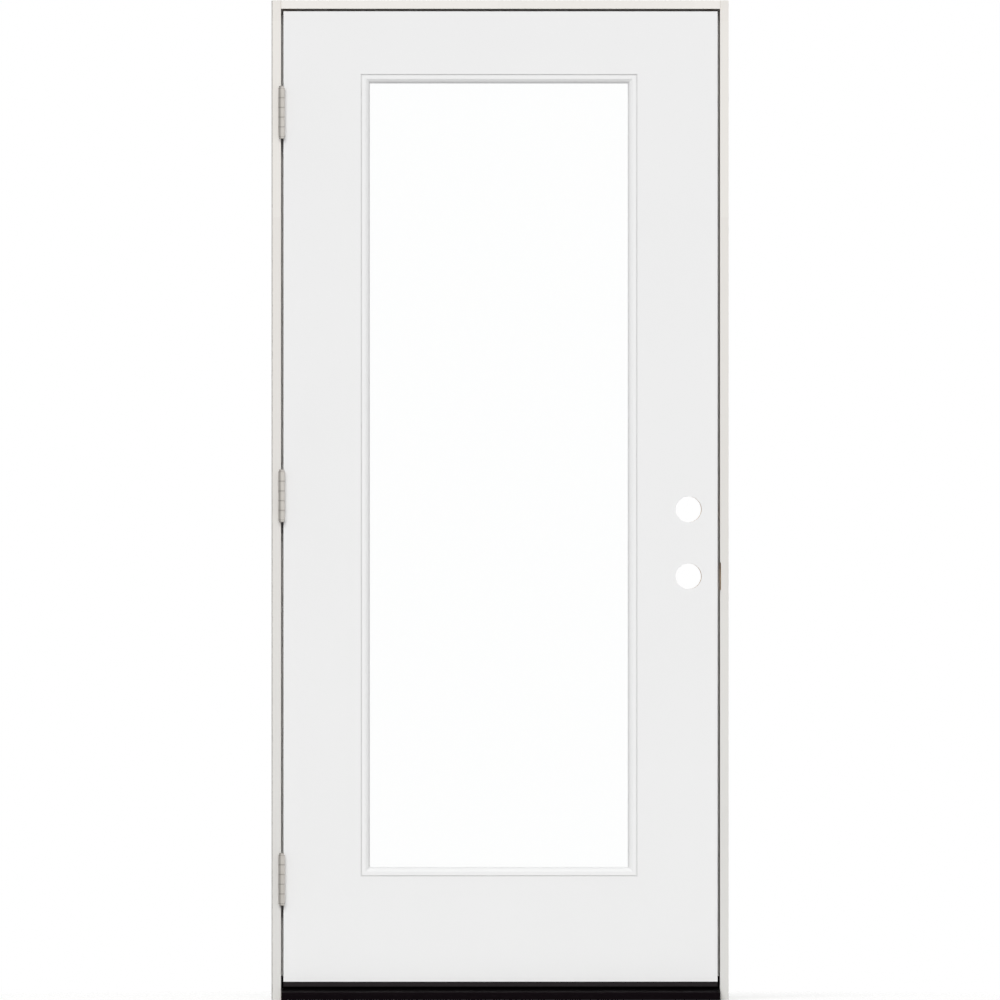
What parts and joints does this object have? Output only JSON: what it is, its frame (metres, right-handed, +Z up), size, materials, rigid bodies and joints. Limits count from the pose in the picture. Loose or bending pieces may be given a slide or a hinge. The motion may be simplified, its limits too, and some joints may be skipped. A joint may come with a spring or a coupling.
{
  "type": "full lite front door in its frame",
  "caption": "Outswing exterior door with one tall clear lite, hung on butt hinges in a rabbeted frame with a bump sill, bored for a lockset and a deadbolt.",
  "frame": {"origin": "middle of the sill's underside: half way across the unit and half way through the jambs", "axes": "+Z up; -Y is the exterior, the side that the leaf opens to; +X towards the lock, so the hinges are on the left seen from outside"},
  "size_m": [0.9524, 0.143, 2.0876],
  "materials": {
    "primed_pine": "primed, matt",
    "leaf_skin": "smooth white fibreglass",
    "lite_moulding": "smooth white moulding",
    "clear_glass": "clear float",
    "spacer_bar": "matt",
    "primed_timber": "primed, matt",
    "bare_timber": "planed",
    "composite": "sawn",
    "foam": "cut foam",
    "bronze_sill": "dark bronze, anodised",
    "dark_vinyl": "matt",
    "weatherstrip_vinyl": "matt film",
    "satin_nickel": "satin"
  },
  "bodies": {
    "frame": {"hinge_jamb": "primed_pine", "strike_jamb": "primed_pine", "head_jamb": "primed_pine", "sill_core": "composite", "sill_extrusion": "bronze_sill", "sill_seal": "dark_vinyl", "weatherstrip_hinge_side": "weatherstrip_vinyl", "weatherstrip_strike_side": "weatherstrip_vinyl", "weatherstrip_head": "weatherstrip_vinyl", "hinge_top_frame_plate": "satin_nickel", "hinge_top_pin": "satin_nickel", "hinge_middle_frame_plate": "satin_nickel", "hinge_middle_pin": "satin_nickel", "hinge_bottom_frame_plate": "satin_nickel", "hinge_bottom_pin": "satin_nickel"},
    "leaf": {"leaf_skin_exterior": "leaf_skin", "leaf_skin_interior": "leaf_skin", "hinge_stile": "primed_timber", "lock_stile": "primed_timber", "lock_block": "bare_timber", "top_rail": "primed_timber", "bottom_rail": "composite", "leaf_core": "foam", "lite_frame_exterior": "lite_moulding", "lite_frame_interior": "lite_moulding", "glass_exterior": "clear_glass", "glass_interior": "clear_glass", "glass_spacer": "spacer_bar", "door_sweep": "dark_vinyl", "hinge_top_leaf_plate": "satin_nickel", "hinge_middle_leaf_plate": "satin_nickel", "hinge_bottom_leaf_plate": "satin_nickel"}
  },
  "joints": [
    {"name": "leaf_swing", "type": "hinge", "parent": "frame", "child": "leaf", "pos_m": [-0.4574, -0.06915, 1.0517], "axis": [0, 0, -1], "range_deg": [0, 180]}
  ]
}
